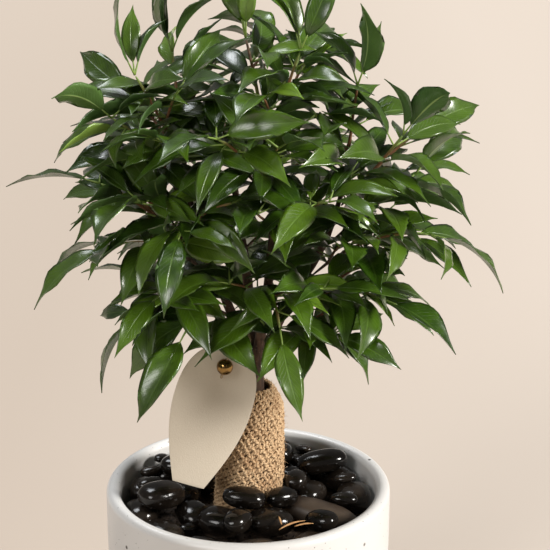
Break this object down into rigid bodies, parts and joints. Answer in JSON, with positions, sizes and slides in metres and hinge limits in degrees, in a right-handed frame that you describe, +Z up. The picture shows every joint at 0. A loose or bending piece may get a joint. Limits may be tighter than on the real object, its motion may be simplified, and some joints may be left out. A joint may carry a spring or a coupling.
{
  "type": "potted weeping fig",
  "caption": "Small weeping fig with arching leafy twigs in a round pot, with a jute-wrapped trunk, a bed of polished pebbles and a blank gift tag.",
  "frame": {"origin": "centre of the pot's flat underside", "axes": "+Z up along the pot's axis, -Y towards the side that carries the gift tag, +X to the right of that side"},
  "size_m": [0.2981, 0.2457, 0.5075],
  "materials": {
    "ceramic": "satin white glaze with fine dark speckles",
    "soil": "matte potting mix",
    "bark": "matte bark",
    "jute": "coarse open weave",
    "card": "matte cream card, blank",
    "brass": "polished",
    "twine": "matte twisted twine",
    "pebble": "polished",
    "foliage": "waxy, glossy leaves"
  },
  "bodies": {
    "root": {"branch_back_high": "foliage", "branch_back_left": "foliage", "branch_back_low": "foliage", "branch_back_right": "foliage", "branch_front_high": "foliage", "branch_front_left": "foliage", "branch_front_left_low": "foliage", "branch_front_low": "foliage", "branch_front_right": "foliage", "branch_front_right_low": "foliage", "branch_left_high": "foliage", "branch_left_low": "foliage", "branch_left_middle": "foliage", "branch_left_skirt": "foliage", "branch_left_top": "foliage", "branch_right_high": "foliage", "branch_right_low": "foliage", "branch_right_middle": "foliage", "branch_right_skirt": "foliage", "branch_right_top": "foliage", "branch_top_left": "foliage", "branch_top_middle": "foliage", "branch_top_right": "foliage", "brass_bead": "brass", "gift_tag": "card", "jute_sleeve": "jute", "pebble_01": "pebble", "pebble_02": "pebble", "pebble_03": "pebble", "pebble_04": "pebble", "pebble_05": "pebble", "pebble_06": "pebble", "pebble_07": "pebble", "pebble_08": "pebble", "pebble_09": "pebble", "pebble_10": "pebble", "pebble_11": "pebble", "pebble_12": "pebble", "pebble_13": "pebble", "pebble_14": "pebble", "pebble_15": "pebble", "pebble_16": "pebble", "pebble_17": "pebble", "pebble_18": "pebble", "pebble_19": "pebble", "pebble_20": "pebble", "pebble_21": "pebble", "pebble_22": "pebble", "pebble_23": "pebble", "pebble_24": "pebble", "pebble_25": "pebble", "pebble_26": "pebble", "pebble_27": "pebble", "pebble_28": "pebble", "pebble_29": "pebble", "pebble_30": "pebble", "pot": "ceramic", "soil": "soil", "tag_string": "twine", "trunk": "bark"}
  },
  "joints": []
}
